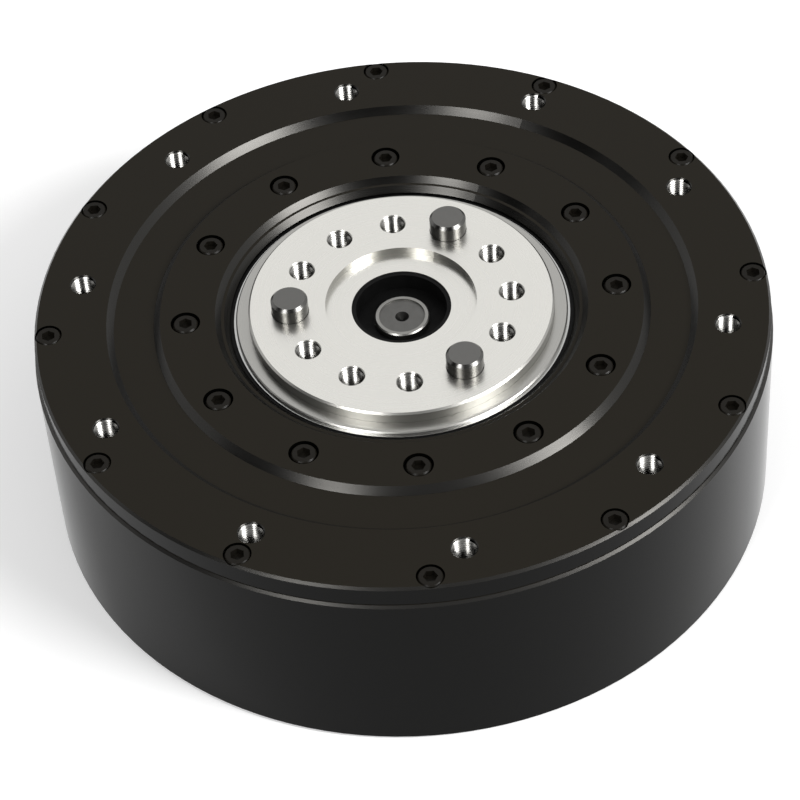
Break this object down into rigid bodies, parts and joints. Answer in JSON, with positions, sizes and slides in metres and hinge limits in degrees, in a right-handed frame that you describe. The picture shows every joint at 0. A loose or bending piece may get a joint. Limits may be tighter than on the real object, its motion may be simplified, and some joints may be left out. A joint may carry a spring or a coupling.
{
  "type": "robot joint actuator",
  "caption": "Flat round geared motor for a robot joint: black casing with a tapped mounting rim, and a turning bright output flange with tapped holes and locating pins.",
  "frame": {"origin": "centre of the flat rear face", "axes": "+Z along the output axis towards the flange; +X through one of the three output pins"},
  "size_m": [0.12, 0.12, 0.04],
  "materials": {
    "black_anodised": "gloss black anodised aluminium",
    "black_screw": "black oxide",
    "machined_aluminium": "satin machined",
    "ground_steel": "ground",
    "gear_steel": "machined",
    "bronze": "bronze",
    "seal_rubber": "matt",
    "cage_nylon": "moulded nylon",
    "lamination": "electrical steel",
    "magnet": "nickel plate",
    "copper": "enamelled copper",
    "board": "solder mask",
    "chip": "moulded",
    "socket": "moulded nylon"
  },
  "bodies": {
    "casing": {"barrel": "black_anodised", "front_cover": "black_anodised", "bearing_cap": "black_anodised", "rear_cover": "black_anodised", "front_cover_screws": "black_screw", "bearing_cap_screws": "black_screw", "rear_cover_screws": "black_screw", "ring_gear": "gear_steel", "ring_gear_pins": "ground_steel", "stator_core": "lamination", "stator_coils": "copper", "phase_terminals": "copper", "output_bearing_outer_ring": "ground_steel", "output_bearing_seal": "seal_rubber", "rear_bearing_outer_ring": "ground_steel", "driver_board": "board", "board_screws": "ground_steel", "encoder_chip": "chip", "controller_chip": "chip", "power_stages": "chip", "capacitors": "chip", "power_socket": "socket", "signal_socket_1": "socket", "signal_socket_2": "socket", "socket_contacts": "copper"},
    "output": {"output_flange": "machined_aluminium", "planet_pins": "ground_steel", "carrier_plate": "gear_steel", "carrier_screws": "black_screw", "thrust_washers": "ground_steel", "output_bearing_inner_ring": "ground_steel", "output_clamp_ring": "machined_aluminium", "sun_bearing_outer_ring": "ground_steel", "shaft_seal": "seal_rubber"},
    "rotor": {"sun_shaft": "ground_steel", "rotor_cup": "gear_steel", "rotor_magnets": "magnet", "rotor_hub_screws": "black_screw", "encoder_magnet": "magnet", "sun_bearing_inner_ring": "ground_steel", "rear_bearing_inner_ring": "ground_steel"},
    "planet_1": {"planet_gear_1": "gear_steel", "planet_bush_1": "bronze"},
    "planet_2": {"planet_gear_2": "gear_steel", "planet_bush_2": "bronze"},
    "planet_3": {"planet_gear_3": "gear_steel", "planet_bush_3": "bronze"},
    "output_bearing_train": {"output_bearing_balls": "ground_steel", "output_bearing_cage": "cage_nylon"},
    "sun_bearing_train": {"sun_bearing_balls": "ground_steel", "sun_bearing_cage": "cage_nylon"},
    "rear_bearing_train": {"rear_bearing_balls": "ground_steel", "rear_bearing_cage": "cage_nylon"}
  },
  "joints": [
    {"name": "output_spin", "type": "hinge", "parent": "casing", "child": "output", "pos_m": [0, 0, 0.0365], "axis": [0, 0, 1], "continuous": true},
    {"name": "rotor_spin", "type": "hinge", "parent": "casing", "child": "rotor", "pos_m": [0, 0, 0.02], "axis": [0, 0, 1], "continuous": true},
    {"name": "planet_1_spin", "type": "hinge", "parent": "output", "child": "planet_1", "pos_m": [0.018, 0, 0.0218], "axis": [0, 0, 1], "continuous": true},
    {"name": "planet_2_spin", "type": "hinge", "parent": "output", "child": "planet_2", "pos_m": [-0.009, 0.01559, 0.0218], "axis": [0, 0, 1], "continuous": true},
    {"name": "planet_3_spin", "type": "hinge", "parent": "output", "child": "planet_3", "pos_m": [-0.009, -0.01559, 0.0218], "axis": [0, 0, 1], "continuous": true},
    {"name": "output_bearing_roll", "type": "hinge", "parent": "casing", "child": "output_bearing_train", "pos_m": [0, 0, 0.031], "axis": [0, 0, 1], "continuous": true},
    {"name": "sun_bearing_roll", "type": "hinge", "parent": "output", "child": "sun_bearing_train", "pos_m": [0, 0, 0.0295], "axis": [0, 0, 1], "continuous": true},
    {"name": "rear_bearing_roll", "type": "hinge", "parent": "casing", "child": "rear_bearing_train", "pos_m": [0, 0, 0.009], "axis": [0, 0, 1], "continuous": true}
  ],
  "couplings": [
    {"joint": "rotor_spin", "follows": "output_spin", "ratio": 6},
    {"joint": "planet_1_spin", "follows": "output_spin", "ratio": -2.5},
    {"joint": "planet_2_spin", "follows": "output_spin", "ratio": -2.5},
    {"joint": "planet_3_spin", "follows": "output_spin", "ratio": -2.5},
    {"joint": "output_bearing_roll", "follows": "output_spin", "ratio": 0.46522},
    {"joint": "sun_bearing_roll", "follows": "output_spin", "ratio": 2.0385},
    {"joint": "rear_bearing_roll", "follows": "output_spin", "ratio": 2.7333}
  ]
}
